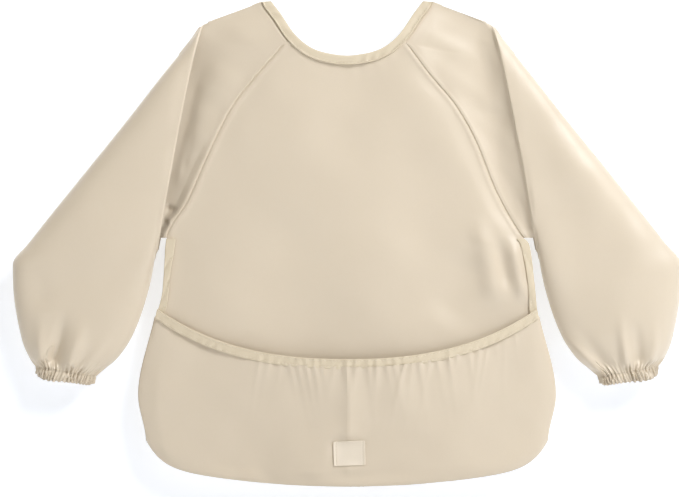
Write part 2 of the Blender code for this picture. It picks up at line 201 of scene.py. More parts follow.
def swell(x, z, size, seed):
    """Gentle seeded undulation of about -1 to 1, with features size millimetres across."""
    rng = np.random.default_rng(seed)
    total = 0.0
    for _ in range(7):
        angle, phase = rng.uniform(0, 2 * pi, 2)
        k = 2 * pi / size * rng.uniform(0.55, 1.35)
        total += np.sin(k * (x * cos(angle) + z * sin(angle)) + phase)
    return total / 3.2


def stroke(x, z, points, width, height, runs_out=False):
    """A fold along a polyline: a soft ridge (or valley, if height is negative)."""
    line = along(points, np.linspace(0, 1, 18))
    run = travel(line)
    best = np.full(np.shape(x), np.inf)
    place = np.zeros(np.shape(x))
    for k in range(len(line) - 1):
        a, ab = line[k], line[k + 1] - line[k]
        t = np.clip(((x - a[0]) * ab[0] + (z - a[1]) * ab[1]) / (ab @ ab), 0, 1)
        d = np.hypot(x - a[0] - t * ab[0], z - a[1] - t * ab[1])
        near = d < best
        best = np.where(near, d, best)
        place = np.where(near, (run[k] + t * (run[k + 1] - run[k])) / run[-1], place)
    taper = smooth(0, 0.3, place) * smooth(0, 0.3, 1 - place)
    if runs_out:  # grows all the way to its end
        taper = smooth(0, 0.9, place)
    return height * taper * bell(best, 0, width)


# ---- garment shape

def half_width(z):
    return curve(BODY_SIDE, z)[..., 0]


def lie(x, z):
    """Sideways shift of the cloth: as it lies, the two raglan seams run a little differently."""
    width = half_width(z)
    hold = smooth(140, 148, z)
    left, right = ((curve(SEAM_LIE[side], z)[..., 0] - width) * hold for side in SIDES)
    share = np.clip(np.abs(x) / width, 0, 1) ** 3
    return x + np.where(x > 0, left, -right) * share


def hem_height(t):
    return HEM_SAG * t * t + HEM_CORNER * np.abs(t) ** HEM_POWER


def shoulder_line(x):
    (xa, za), (xb, zb) = NECK_POINT, CORNER
    t = np.clip((np.abs(x) - xa) / (xb - xa), 0.0, 1.6)
    return za + (zb - za) * t


def pillow(x):
    """Swell of the garment across its width: 1 in the middle, 0 at the sides."""
    return np.maximum(0.0, 1.0 - (x / HALF_WIDTH) ** 2)


def below_shoulder(x, z):
    return smooth(0.0, FADE, shoulder_line(x) - z)


def front_y(x, z):
    return MID + (EDGE_Y - LOFT * pillow(x)) * (0.45 + 0.55 * below_shoulder(x, z))


def back_y(x, z):
    return MID + BACK_Y * (0.30 + 0.70 * below_shoulder(x, z))


def pocket_mouth(t):
    return MOUTH + MOUTH_RISE * np.abs(t) ** 2.3


def pocket_y(x, z):
    return front_y(x, z) - 2.0 - POCKET_LOFT * pillow(x) * smooth(0.0, MOUTH, z)


def neck_line(drop, count=150):
    """Front neck edge from the wearer's right to left, moved down by drop."""
    half = along(NECK_FRONT, np.linspace(0, 1, count // 2))
    line = np.vstack([half[::-1] * [-1, 1], half[1:]])
    for _ in range(40):  # rounds off the middle of the curve
        line[1:-1] = 0.25 * line[:-2] + 0.5 * line[1:-1] + 0.25 * line[2:]
    line = offset(line, drop)
    if drop > 0.0:
        x, z = NECK_POINT[0] + drop - BAND, NECK_POINT[1]
        line[0], line[-1] = (-x, z), (x, z)
    return line


def crease(c):
    """Fold between shoulder and sleeve, from the shoulder down."""
    x = CORNER[0] + (FOOT[0] - CORNER[0]) * c + BOW * (1 - c) * c ** 0.2
    return np.stack([x, CORNER[1] + (FOOT[1] - CORNER[1]) * c], -1)


def hem_relief(height, fold, softness, seam, width):
    """Cross-section of a turned-up hem: a low ridge below a sewn groove."""
    return 0.35 * bell(height, fold, softness) - 0.3 * bell(height, seam, width)


def seam_relief(d, ridge):
    """Cross-section of a sewn seam at distance d: a groove with a raised allowance."""
    return -0.75 * bell(d, 0, 0.65) + ridge * bell(d, 3.0, 1.9)


# ---- meshing

def add_object(name, data):
    """A new object in the scene."""
    obj = bpy.data.objects.new(name, data)
    bpy.context.scene.collection.objects.link(obj)
    return obj


class Shape:
    """Vertices and faces of one piece, with a material slot for each face."""

    def __init__(self):
        self.points, self.faces, self.slots, self.count = [], [], [], 0

    def add(self, points, faces, slot=0):
        points = np.asarray(points, float).reshape(-1, 3)
        self.points.append(points)
        self.faces += [tuple(i + self.count for i in f) for f in faces]
        self.slots += [slot] * len(faces)
        self.count += len(points)

    def build(self, name, *materials):
        mesh = bpy.data.meshes.new(name)
        mesh.from_pydata((np.vstack(self.points) * MM).tolist(), [], self.faces)
        for mat in materials:
            mesh.materials.append(mat)
        mesh.polygons.foreach_set("material_index", self.slots)
        bm = bmesh.new()
        bm.from_mesh(mesh)
        bmesh.ops.recalc_face_normals(bm, faces=bm.faces[:])
        bm.to_mesh(mesh)
        bm.free()
        mesh.shade_smooth()
        mesh.set_sharp_from_angle(angle=radians(60.0))
        return add_object(name, mesh)

    def piece(self, name, materials, nodes, body, bend=None):
        """Builds a piece in place of its CAD nodes: on a body, or, when bend is given, fixed
        where it stands with its transform baked.
        """
        obj = self.build(name, *materials)
        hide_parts(*nodes)
        if bend is None:
            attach(obj, body)
        else:
            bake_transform(obj)


def cad_box(node):
    return [np.array(corner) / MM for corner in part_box(node)]


def grid_faces(rows, columns, wrap=False, start=0):
    r = np.arange(rows - 1)[:, None]
    c = np.arange(columns if wrap else columns - 1)[None, :]
    d = (c + 1) % columns
    quads = np.stack([r * columns + c, r * columns + d, (r + 1) * columns + d,
                      (r + 1) * columns + c], -1)
    return (quads.reshape(-1, 4) + start).tolist()


def normals(grid, toward, wrap=False):
    """Unit normals of a grid of points, on the side that toward points to."""
    du = np.gradient(grid, axis=0)
    if wrap:
        dv = np.roll(grid, -1, axis=1) - np.roll(grid, 1, axis=1)
    else:
        dv = np.gradient(grid, axis=1)
    n = np.cross(du, dv)
    size = np.linalg.norm(n, axis=-1, keepdims=True)
    toward = np.broadcast_to(toward, grid.shape)
    n = np.where(size > 1e-9, n / np.maximum(size, 1e-9), toward)
    flip = np.sign(np.sum(n * toward, axis=-1, keepdims=True))
    return n * np.where(flip == 0, 1, flip)


def shell(shape, grid, toward, thickness=CLOTH, wrap=False):
    """Closed sheet of cloth: a grid of outer points, thickened away from toward."""
    rows, columns = grid.shape[:2]
    inner = grid - normals(grid, toward, wrap) * thickness
    size = rows * columns
    faces = grid_faces(rows, columns, wrap) + grid_faces(rows, columns, wrap, size)
    last = columns if wrap else columns - 1
    rim = [(r + c, r + (c + 1) % columns) for r in (0, size - columns) for c in range(last)]
    if not wrap:
        rim += [(r + c, r + c + columns) for c in (0, columns - 1)
                for r in range(0, size - columns, columns)]
    faces += [(a, b, b + size, a + size) for a, b in rim]
    shape.add(np.concatenate([grid.reshape(-1, 3), inner.reshape(-1, 3)]), faces)


def tape(shape, edge, far, depth_at, thickness, relief):
    """Rounded folded tape between two (x, z) lines, standing out of the surface toward -Y."""
    steps = 44
    angle = np.linspace(0, 2 * pi, steps, endpoint=False)
    power = 0.34  # a squarish oval: flat faces, rounded edges
    u = 0.5 + 0.5 * np.sign(np.cos(angle)) * np.abs(np.cos(angle)) ** power
    w = np.sign(np.sin(angle)) * np.abs(np.sin(angle)) ** power
    flat = edge[:, None, :] * (1 - u[None, :, None]) + far[:, None, :] * u[None, :, None]
    x, z = flat[..., 0], flat[..., 1]
    raised = relief(travel(edge)[:, None], u[None, :]) * np.clip(w[None, :], 0, 1)
    lift = -w[None, :] * thickness / 2 - raised
    grid = np.stack([x, depth_at(x, z) + lift, z], -1)
    rows = len(edge)
    faces = grid_faces(rows, steps, True)
    faces.append(tuple(range(steps)))
    faces.append(tuple((rows - 1) * steps + k for k in range(steps)))
    shape.add(grid, faces)


def stitches(shape, path, out=(0, -1, 0), pitch=2.9, length=2.2, radius=0.24):
    """A row of sewn stitches along an (n, 3) path. out points out of the cloth: one direction,
    or a row of directions from the path's start to its end."""
    count = max(int(travel(path)[-1] / pitch), 2)
    centre = resample(path, count + 1)
    way = np.gradient(centre, axis=0)
    way /= np.linalg.norm(way, axis=1)[:, None]
    if np.ndim(out) == 2:
        out = resample(out, count + 1)
    out = np.broadcast_to(out, centre.shape)
    side = np.cross(way, out)
    side /= np.linalg.norm(side, axis=1)[:, None]
    place = np.array([-0.5, -0.36, 0.0, 0.36, 0.5])
    swollen = np.array([0.35, 0.9, 1.0, 0.9, 0.35])
    ring = (np.arange(6) * pi / 3)[:, None]
    thick = (radius * swollen)[:, None, None]
    faces = grid_faces(5, 6, True) + [tuple(range(6)), tuple(range(24, 30))]
    for at, forward, sideways, up in zip(centre, way, side, out):
        points = at + forward * (place * length)[:, None, None]
        circle = (sideways * np.cos(ring) + up * np.sin(ring)) * thick
        shape.add(points + circle + up * 0.6 * thick, faces, 1)


def lay(line, depth_at, lift):
    """(x, z) line laid on a surface and lifted toward -Y, as an (n, 3) path."""
    return np.column_stack([line[:, 0], depth_at(line[:, 0], line[:, 1]) - lift, line[:, 1]])


def hem_stitches(shape, sign, ends, count, height, depth_at, lift):
    """Stitches along the underarm hem, at a height above its edge."""
    line = np.column_stack([np.linspace(*ends, count), np.full(count, UNDERARM + height)])
    back = 1 if depth_at is back_y else -1
    stitches(shape, lay(line, depth_at, lift) * [sign, 1, 1], (0, back, 0))


# ---- materials

def fill(node, values):
    """Sets a node's inputs by name."""
    for name, value in values.items():
        node.inputs[name].default_value = value


class Nodes:
    """Short helper to wire a material's nodes."""

    def __init__(self, name):
        self.mat = bpy.data.materials.new(name)
        self.mat.use_nodes = True
        self.tree = self.mat.node_tree
        self.shader = self.tree.nodes["Principled BSDF"]
        self.place = self.new("ShaderNodeTexCoord").outputs["Object"]

    def new(self, kind, **settings):
        node = self.tree.nodes.new(kind)
        for key, value in settings.items():
            setattr(node, key, value)
        return node

    def link(self, output, target):
        self.tree.links.new(output, target)

    def texture(self, kind, values, **settings):
        """A texture node laid out in the object's own space."""
        node = self.new(kind, **settings)
        fill(node, values)
        self.link(self.place, node.inputs["Vector"])
        return node

    def noise(self, scale, detail=3.0):
        node = self.texture("ShaderNodeTexNoise", {"Scale": scale, "Detail": detail})
        return node.outputs["Fac"]

    def wave(self, period, direction):
        """Thread-like bands; period in metres."""
        scale = 2 * pi / 20.0 / period
        node = self.texture("ShaderNodeTexWave",
                            {"Scale": scale, "Distortion": 0.4, "Detail Scale": 2.0},
                            bands_direction=direction)
        return node.outputs["Fac"]

    def maths(self, operation, a, b):
        node = self.new("ShaderNodeMath", operation=operation)
        for socket, value in zip(node.inputs, (a, b)):
            if isinstance(value, (int, float)):
                socket.default_value = value
            else:
                self.link(value, socket)
        return node.outputs[0]

    def span(self, value, low, high, new_low, new_high):
        node = self.new("ShaderNodeMapRange")
        self.link(value, node.inputs["Value"])
        fill(node, {"From Min": low, "From Max": high, "To Min": new_low, "To Max": new_high})
        return node.outputs["Result"]

    def mix(self, factor, a, b):
        node = self.new("ShaderNodeMix", data_type="RGBA")
        self.link(factor, node.inputs["Factor"])
        for socket, value in ((node.inputs[6], a), (node.inputs[7], b)):
            if isinstance(value, tuple):
                socket.default_value = (*value, 1.0)
            else:
                self.link(value, socket)
        return node.outputs[2]

    def bump(self, height, distance, strength, before=None):
        node = self.new("ShaderNodeBump")
        fill(node, {"Distance": distance, "Strength": strength})
        self.link(height, node.inputs["Height"])
        if before is not None:
            self.link(before, node.inputs["Normal"])
        return node.outputs["Normal"]


def tint(colour, factor):
    return tuple(min(1.0, c * factor) for c in colour)


def cloth_material(name, colour, period, roughness, sheen, weave=("X", "Z"), crinkle=0.10,
                   painted_shading=True):
    """Woven cloth: crossing threads, a little unevenness, sheen, and painted shade in hollows
    with a painted highlight on raised edges.
    """
    n = Nodes(name)
    threads = n.maths("MULTIPLY", n.wave(period, weave[0]), n.wave(period, weave[1]))
    broad = n.span(n.noise(11.0, 2.0), 0.3, 0.7, 0.0, 1.0)
    fine = n.span(n.noise(1500.0, 2.0), 0.3, 0.7, 0.0, 1.0)
    base = n.mix(broad, tint(colour, 0.975), tint(colour, 1.02))
    grain = n.mix(n.span(fine, 0, 1, 0.0, 0.35), base, tint(colour, 0.93))
    woven = n.mix(n.span(threads, 0, 1, 0.10, 0.0), grain, tint(colour, 0.80))
    if painted_shading:
        # painted shade darkens concave creases and a painted highlight lightens convex raised
        # edges, both read from pointiness
        curvature = n.new("ShaderNodeNewGeometry").outputs["Pointiness"]
        woven = n.mix(n.span(curvature, 0.44, 0.50, 0.35, 0.0), woven, tint(colour, 0.82))
        woven = n.mix(n.span(curvature, 0.51, 0.58, 0.0, 0.45), woven, tint(colour, 1.07))
    n.link(woven, n.shader.inputs["Base Color"])
    n.link(n.span(n.noise(160.0), 0.3, 0.7, roughness - 0.05, roughness + 0.06),
           n.shader.inputs["Roughness"])
    uneven = n.bump(n.noise(85.0, 4.0), 0.0006, crinkle)
    n.link(n.bump(threads, 0.00007, 0.45, uneven), n.shader.inputs["Normal"])
    fill(n.shader, {"Sheen Weight": sheen, "Sheen Roughness": 0.45, "Specular IOR Level": 0.75})
    return n.mat


def pile_material(name, colour):
    """Hook-and-loop tape: a dense, fuzzy nap on a woven ground."""
    n = Nodes(name)
    nap = n.texture("ShaderNodeTexVoronoi", {"Scale": 1400.0}).outputs["Distance"]
    n.link(n.mix(n.span(nap, 0.0, 0.7, 0.0, 1.0), tint(colour, 1.10), tint(colour, 0.62)),
           n.shader.inputs["Base Color"])
    n.link(n.bump(nap, 0.0004, 0.8, n.bump(n.noise(300.0), 0.0005, 0.4)),
           n.shader.inputs["Normal"])
    fill(n.shader, {"Roughness": 0.92, "Sheen Weight": 0.5})
    return n.mat


CREAM = (0.680, 0.592, 0.466)
CLOTH_LOOK = (CREAM, 0.00055, 0.42, 0.30)
TAPE_LOOK = ((0.685, 0.597, 0.445), 0.00060, 0.56, 0.35, ("DIAGONAL", "Z"), 0.35)
FABRIC = cloth_material("coated_fabric_look", *CLOTH_LOOK)
# the pocket pieces get no painted shade in hollows and no painted highlight on edges
POCKET_FABRIC = cloth_material("pocket_fabric_look", *CLOTH_LOOK, painted_shading=False)
BINDING = cloth_material("binding_look", *TAPE_LOOK)
POCKET_BINDING = cloth_material("pocket_binding_look", *TAPE_LOOK, painted_shading=False)
CUFF = cloth_material("cuff_look", tint(CREAM, 0.99), 0.00055, 0.50, 0.30)
THREAD = cloth_material("thread_look", (0.70, 0.625, 0.50), 0.00035, 0.60, 0.5,
                        ("DIAGONAL", "Z"), 0.2)
LABEL = cloth_material("label_look", (0.80, 0.72, 0.60), 0.00045, 0.70, 0.4,
                       ("Z", "Z"), 0.25)
ELASTIC = cloth_material("elastic_look", (0.80, 0.78, 0.72), 0.00110, 0.75, 0.3,
                         ("X", "X"), 0.2)
PILE = pile_material("hook_and_loop_look", (0.60, 0.53, 0.41))


# ---- front of body

# Folds that the front shows, as (points, width, height): ridges and valleys.
FRONT_FOLDS = (
    (((110, 224), (114, 195), (119, 168), (128, 145)), 9.0, 3.2),
    (((134, 206), (139, 186), (143, 165), (147, 148)), 6.0, 3.6),
    (((123, 207), (127, 185), (134, 158)), 5.0, -1.8),
    (((74, 132), (92, 160), (104, 196)), 18.0, -2.2),
    (((-20, 330), (-24, 270), (-12, 200)), 30.0, 1.3),
    (((40, 320), (58, 250), (62, 190)), 26.0, -1.4),
)


def front_relief(x, z):
    """How far the front stands out from its plain pillow shape."""
    width = half_width(z)
    edge = (width - np.abs(x)) * 0.88
    t = np.abs(x) / width
    calm = smooth(0, 16, edge) * smooth(0, 14, z - hem_height(t))
    calm = calm * smooth(MOUTH - 40, MOUTH + 14, z)
    loft = 1.35 * swell(x, z, 125, 3) + 0.42 * swell(x, z, 56, 8)
    folds = sum(stroke(x, z, *fold) for fold in FRONT_FOLDS)
    raglan = smooth(UNDERARM - 3, UNDERARM + 3, z)
    neck = np.hypot(x * 0.9, z - 399)
    pucker = 0.22 * np.sin(np.arctan2(x, 405 - z) * 33 + 1.2 * swell(x, z, 30, 5))
    pucker = pucker * np.exp(-np.maximum(neck - 52, 0) / 7.0) * smooth(300, 335, z)
    sink = seam_sink(x, z) * bell(edge, 0, 13.0)
    folds = folds * smooth(0, 5, edge) - sink
    return calm * (loft + pucker) + folds + raglan * seam_relief(edge, 0.38)


def seam_sink(x, z):
    """Depth by which the wearer's left raglan seam lies lower than the cloth on both sides."""
    return np.where(x > 0, 2.2 * smooth(204, 228, z) * smooth(352, 318, z), 0.0)


def build_front_panel():
    columns, rows = 220, 190
    t = np.sin(pi * (np.arange(columns + 1) / columns - 0.5))
    low, high = hem_height(t), FRONT_TOP + FRONT_TOP_RISE * np.abs(t) ** 1.1
    z = low + (high - low) * np.linspace(0, 1, rows + 1)[:, None]
    x = t * half_width(z)
    grid = np.stack([lie(x, z), front_y(x, z) - front_relief(x, z), z], -1)
    shape = Shape()
    shell(shape, grid, (0, -1, 0))
    shape.piece("front_cloth", (FABRIC,), ["front_panel"], "root")


def build_neck_binding():
    """Folded tape round the neck, sewn down by a line of stitches near its lower edge."""
    shape = Shape()

    def relief(run, u):
        groove = -0.45 * bell(u, 0.78, 0.06) + 0.40 * bell(u, 0.91, 0.06)
        wrinkle = np.sin(run / 1.9 + 2.4 * np.sin(run / 8) + 3.4 * u)
        wrinkle = wrinkle * (0.6 + 0.4 * np.sin(run / 13))
        return groove + 0.42 * wrinkle * smooth(0.0, 0.6, u) * smooth(1.0, 0.85, u)

    def face(x, z):
        return front_y(x, z) - 0.2
    edge, far = neck_line(0.0), neck_line(BAND - 0.3)
    tape(shape, edge, far, face, 2.7, relief)
    line = edge * 0.20 + far * 0.80
    stitches(shape, lay(line[2:-2], face, 1.10))
    shape.piece("neck_tape_front", (BINDING, THREAD),
                ["neck_binding_front"], "root")


def build_side_binding(side):
    """Tape along the open side, turned a little where it runs into the pocket."""
    sign = SIDES[side]
    z = np.linspace(float(pocket_mouth(1.0)) - 6, UNDERARM - 1, 60)
    twist = 2.0 if side == "right" else 1.2
    wave = twist * np.sin((z - 146) / 58 * pi * 1.5)
    rim = np.abs(lie(sign * half_width(z), z))
    edge = np.column_stack([sign * (rim + 0.3), z])
    far = np.column_stack([sign * (rim - 6.2 + 0.7 * wave), z])
    shape = Shape()

    def face(x, zz):
        return front_y(x, zz) - 1.0 - 0.5 * twist * np.sin((zz - 146) / 58 * pi)

    def relief(run, u):
        phase = run / (5.6 if side == "right" else 9.5) + 0.7 * np.sin(run / 9) - 2.4 * u
        turns = 0.25 - bell(np.sin(phase), 0, 0.42)
        return 0.42 * twist * turns * smooth(0, 8, run) * smooth(58, 50, run)
    tape(shape, edge, far, face, 2.3, relief)
    stitches(shape, lay(edge * 0.26 + far * 0.74, face, 0.78))
    shape.piece(f"side_tape_{side}", (BINDING, THREAD),
                [f"side_binding_{side}"], "root")


# ---- raglan shoulders

SHOULDER_FOLDS = {
    "left": ((((141, 240), (147, 222), (150, 208)), 3.0, -0.8),),
    "right": ((((120, 350), (127, 318), (134, 280), (141, 246)), 5.0, -1.3),
              (((128, 300), (136, 270), (141, 244)), 3.2, 0.7),
              (((146, 232), (149, 222), (150, 210)), 2.6, -1.1),
              (((150, 230), (141, 225)), 2.4, -2.0),
              (((151, 221), (144, 217)), 1.8, 1.5)),
}


def raglan_inner(sign):
    """Inner edge of the front shoulder: up the raglan seam, then along the neck."""
    z = np.linspace(UNDERARM, RAGLAN_TOP, 80)
    seam = np.column_stack([sign * lie(sign * half_width(z), z), z])
    neck = neck_line(BAND - 0.6)
    neck = neck[(neck[:, 0] > 0) & (neck[:, 1] > RAGLAN_TOP + 1.5)]
    return np.vstack([seam, neck])


def tuck(side, run, seam, lip):
    """Height of the shoulder cloth between the raglan seam and the sleeve fold."""
    if side == "left":  # a slow fall, then a steep rise into the fold
        width = seam + lip
        reach = np.minimum(np.minimum(20.0, 0.62 * width), 9.0 + 0.55 * run)
        fall = 4.8 * np.clip((width - 20.0) / 30.0, 0, 1)
        rise = 3.4 + 1.4 * smooth(60, 130, run)
        t = np.clip(lip / reach, 0, 1)
        ramp = (1 - t) ** 2 * (1 + 0.2 * t)
        dip = smooth(0, 1, seam / (width - reach))
        fade = smooth(-6, 26, run) * (1 - 0.3 * smooth(140, 190, run))
        return fade * ((fall + rise) * ramp - fall * dip)
    fade = smooth(4, 40, run) * (1 - 0.35 * smooth(110, 190, run))
    return fade * -7.2 * bell(lip, 0, 20.0) * smooth(0, 10, seam)


def build_raglan(side):
    """Shoulder cloth: up the front, over the shoulder fold, and down the back."""
    sign = SIDES[side]
    rows, columns = 110, 56
    u = eased(columns)
    s = np.linspace(0, 1, rows + 1)
    outer = crease(CREASE_SHARE * (1 - s))

    def panel(inner, surface, side_sign):
        flat = inner[:, None] + (outer - inner)[:, None] * u[None, :, None]
        x, z = flat[..., 0], flat[..., 1]
        width = np.linalg.norm(outer - inner, axis=1)[:, None]
        seam, lip = u * width * 0.92, (1 - u) * width
        calm = smooth(0, 12, seam) * smooth(0, 12, lip) * smooth(0, 0.08, 1 - s)[:, None]
        relief = calm * (0.5 * swell(x * sign, z, 46, 21) + 0.3 * swell(x * sign, z, 24, 22))
        relief += seam_relief(seam, 0.25)
        relief += hem_relief(z - UNDERARM, 2.5, 2.2, 6.0, 0.8)
        if side_sign < 0:
            folds = sum(stroke(x, z, *fold) for fold in SHOULDER_FOLDS[side])
            run = np.linalg.norm(outer - CORNER, axis=1)[:, None]
            relief += folds + tuck(side, run, seam, lip)
            relief = relief - seam_sink(x * sign, z) * (1 - smooth(0, 0.9, u))
        y = surface(x, z) + side_sign * relief
        close = smooth(6, 0, lip) * smooth(0.97, 1.0, s)[:, None]
        y = y + (MID + side_sign * 0.4 - y) * 0.9 * close
        return np.stack([x, y, z], -1)

    front = panel(resample(raglan_inner(sign), rows + 1), front_y, -1)
    seam = resample(BACK_SEAM, rows + 1)
    back = panel(seam, lambda x, z: back_y(x, z) + 1.4, 1)[::-1]
    turn = []
    for k in range(1, 6):
        angle = pi * k / 6
        mix = 0.5 - 0.5 * cos(angle)
        row = front[-1] * (1 - mix) + back[0] * mix
        row[:, 2] = row[:, 2] + 1.0 * sin(angle)
        turn.append(row)
    grid = np.concatenate([front, np.array(turn), back])
    grid[..., 0] *= sign
    toward = np.zeros_like(grid)
    toward[..., 1] = np.concatenate([-np.ones(rows + 1), [-0.8, -0.4, 0, 0.4, 0.8],
                                     np.ones(rows + 1)])[:, None]
    toward[..., 2] = 0.2
    shape = Shape()
    shell(shape, grid, toward)
    inner, fold = raglan_inner(sign)[0, 0] + 1.0, crease(CREASE_SHARE)[0] - 0.6
    for height in (1.6, 4.4):
        hem_stitches(shape, sign, (inner, fold), 20, height, front_y, -1.7)
        hem_stitches(shape, sign, (149, fold), 20, height, back_y, -1.8)
    shape.piece(f"shoulder_cloth_{side}", (FABRIC, THREAD),
                [f"shoulder_front_{side}", f"shoulder_back_{side}"], "root")


# ---- sleeves

CUFF_FOLDS = {  # these run out into the cuff
    "left": ((((224, 146), (226, 126), (230, 100)), 4.4, 3.4),
             (((168, 131), (184, 118), (208, 95)), 3.0, 3.0),
             (((180, 140), (196, 120), (213, 97)), 6.0, -2.4),
             (((236, 140), (239, 120), (241, 98)), 4.6, -3.2),
             (((254, 140), (253, 118), (249, 98)), 4.0, 2.4)),
    "right": ((((231, 148), (236, 124), (245, 96)), 5.4, -6.4),
              (((250, 148), (253, 124), (252, 98)), 4.6, 3.0),
              (((217, 144), (221, 120), (230, 95)), 6.0, 4.2),
              (((188, 132), (204, 112), (217, 94)), 4.6, 2.2)),
}
SLEEVE_FOLD = {  # one soft fold on each sleeve
    "left": (((150, 300), (190, 255), (226, 200)), 22.0, 1.8),
    "right": (((262, 190), (254, 160), (250, 140)), 12.0, -2.0),
}
SLEEVE_COLUMNS = 400


def sleeve_ring(v, shrink=0.0):
    """Cross-sections of the wearer's left sleeve at fractions v of its length: points, how
    far each is in front of the middle (-1 to 1), fraction from outer to inner edge, angle."""
    angle = 2 * pi * np.arange(SLEEVE_COLUMNS) / SLEEVE_COLUMNS
    v = np.asarray(v, float)[:, None]
    outer, inner = curve(SLEEVE_OUTER, v), curve(SLEEVE_INNER, v)
    c = (0.5 - 0.5 * np.cos(angle))[None, :]
    bow = BOW * (1 - c) * c ** 0.2 * (1 - smooth(0, 0.35, v))
    x = outer[..., 0] + (inner[..., 0] - outer[..., 0]) * c + bow
    z = outer[..., 1] + (inner[..., 1] - outer[..., 1]) * c
    depth = curve(SLEEVE_DEPTH, v)[..., 0] - shrink
    power = 5 - 2 * smooth(0, 0.6, v)  # flatter near the shoulder
    lens = np.sign(np.sin(angle)) * np.sqrt(1 - np.abs(2 * c - 1) ** power)
    return np.stack(np.broadcast_arrays(x, MID - depth * lens, z), -1), lens, c, angle


def ruffle(angle, side, u=0.0):
    """Gathers round a cuff: tight, unevenly spaced crinkles that lean as they go down."""
    shift = 0.0 if side == "left" else 2.1
    phase = 33 * angle + 3.4 * np.sin(3 * angle + shift) + 2.2 * np.sin(8 * angle + 2 * shift)
    phase += 2.6 * u * np.sin(5 * angle + shift)
    main = np.sqrt(0.5 + 0.5 * np.cos(phase)) - 0.6
    small = 0.42 * np.sin(52 * angle + 3.0 * np.sin(4 * angle + shift) + 5.0 * u)
    return (main + small) * (1.3 + 0.6 * np.sin(6 * angle + shift))


def gathers(v, c, lens, side):
    """Long folds that run up the sleeve from its cuff and die out."""
    rng = np.random.default_rng(41 if side == "left" else 57)
    total = 0.0
    for _ in range(30):
        place, start = rng.uniform(0.05, 0.95), rng.uniform(0.84, 0.95)
        face = rng.choice([-1.0, 1.0])
        height, width = rng.uniform(-2.0, 2.2), rng.uniform(0.012, 0.030)
        shape = bell(c, place, width) * smooth(start, 1.0, v) ** 1.4
        total += height * shape * (np.sign(lens) == face)
    return total * np.abs(lens)


def build_sleeve(side):
    sign = SIDES[side]
    v = np.concatenate([np.linspace(0, 0.70, 70), np.linspace(0.70, 1.0, 62)[1:]])
    grid, lens, c, angle = sleeve_ring(v)
    x, z = grid[..., 0], grid[..., 2]
    out = normals(grid, grid - grid.mean(axis=1, keepdims=True), True)
    vv = v[:, None]
    front = np.clip(lens, 0, 1)
    calm = smooth(0.0, 0.07, vv) * np.abs(lens)
    seed = 31 if side == "left" else 36
    apart = z + 300 * (lens < 0)  # front and back have waves of their own
    relief = calm * (1.35 * swell(x, apart, 92, seed) + 0.45 * swell(x, apart, 42, seed + 1))
    folds = sum(stroke(x, z, *fold, runs_out=True) for fold in CUFF_FOLDS[side])
    relief += front * (folds + stroke(x, z, *SLEEVE_FOLD[side]))
    relief += gathers(vv, c, lens, side)
    relief = relief * (1 - smooth(0.945, 0.998, vv))
    relief += ruffle(angle, side) * 1.15 * smooth(0.94, 1.0, vv)
    grid += out * relief[..., None]

    # the cloth turns in at the crease
    under = list(sleeve_ring((0.060, 0.045, 0.030, 0.015, 0.004), 2.6)[0])
    lip = np.minimum(1.0, 2.5 * np.abs(lens[0]))[:, None]
    for k in range(1, 6):
        turn = pi * k / 6
        under.append(sleeve_ring([0.0], 1.3 + 1.3 * cos(turn))[0][0]
                     - np.array([1.1, 0, 0.25]) * lip * sin(turn))
    grid = np.concatenate([np.array(under), grid])
    centre = grid.mean(axis=1, keepdims=True)
    toward = grid - centre
    toward[:5] *= -1.0
    grid[..., 0] *= sign
    toward[..., 0] *= sign
    shape = Shape()
    shell(shape, grid, toward, CLOTH, True)
    ring = sleeve_ring([0.006], 1.5)[0][0] * [sign, 1, 1]
    low = np.arange(int(0.41 * SLEEVE_COLUMNS), SLEEVE_COLUMNS // 2 + 1)
    across = np.linspace(0, 1, 8)[None, :, None]
    web = ring[low][:, None] * (1 - across) + ring[-low][:, None] * across
    shell(shape, web, (-sign, 0, 0))  # closes the armhole's lower end
    shape.piece(f"sleeve_cloth_{side}", (FABRIC,),
                [f"sleeve_{side}"], f"sleeve_{side}")
    build_cuff(side)


def cuff_rings(side, drops, inset):
    """Rings of the gathered cuff at fractions of its height, and their outward directions."""
    ring, lens, c, angle = sleeve_ring([1.0])
    ring = ring[0]
    across = ring[0] - ring[SLEEVE_COLUMNS // 2]
    across = across / np.linalg.norm(across)
    down = np.array([across[2], 0.0, -across[0]])
    down = down if down[2] < 0 else -down
    centre = ring.mean(axis=0)
    pair = np.stack([ring - down, ring + down])
    out = normals(pair, ring - centre, True)[0]
    rows = []
    for u in drops:
        pinch = -0.55 * bell(u, 0.12, 0.07)
        bulge = 0.7 * smooth(0.1, 0.45, u) * (1 - 0.9 * smooth(0.7, 1.0, u)) + pinch
        bulge = bulge * np.abs(lens[0]) - inset - 1.6 * u * (1 - np.abs(lens[0]))
        height = 1.15 + 0.45 * u
        scallop = 0.7 * np.cos(37 * angle + 2.6 * np.sin(3 * angle)) * smooth(0.5, 1.0, u)
        sag = 1.1 * np.sin(2 * pi * c[0] + 0.6) * u
        row = ring + out * (ruffle(angle, side, u) * height + bulge)[:, None]
        fall = CUFF_HEIGHT * u * (1 - 0.5 * (1 - np.abs(lens[0]))) + scallop + sag
        rows.append(row + down * fall[:, None])
    return np.array(rows), out


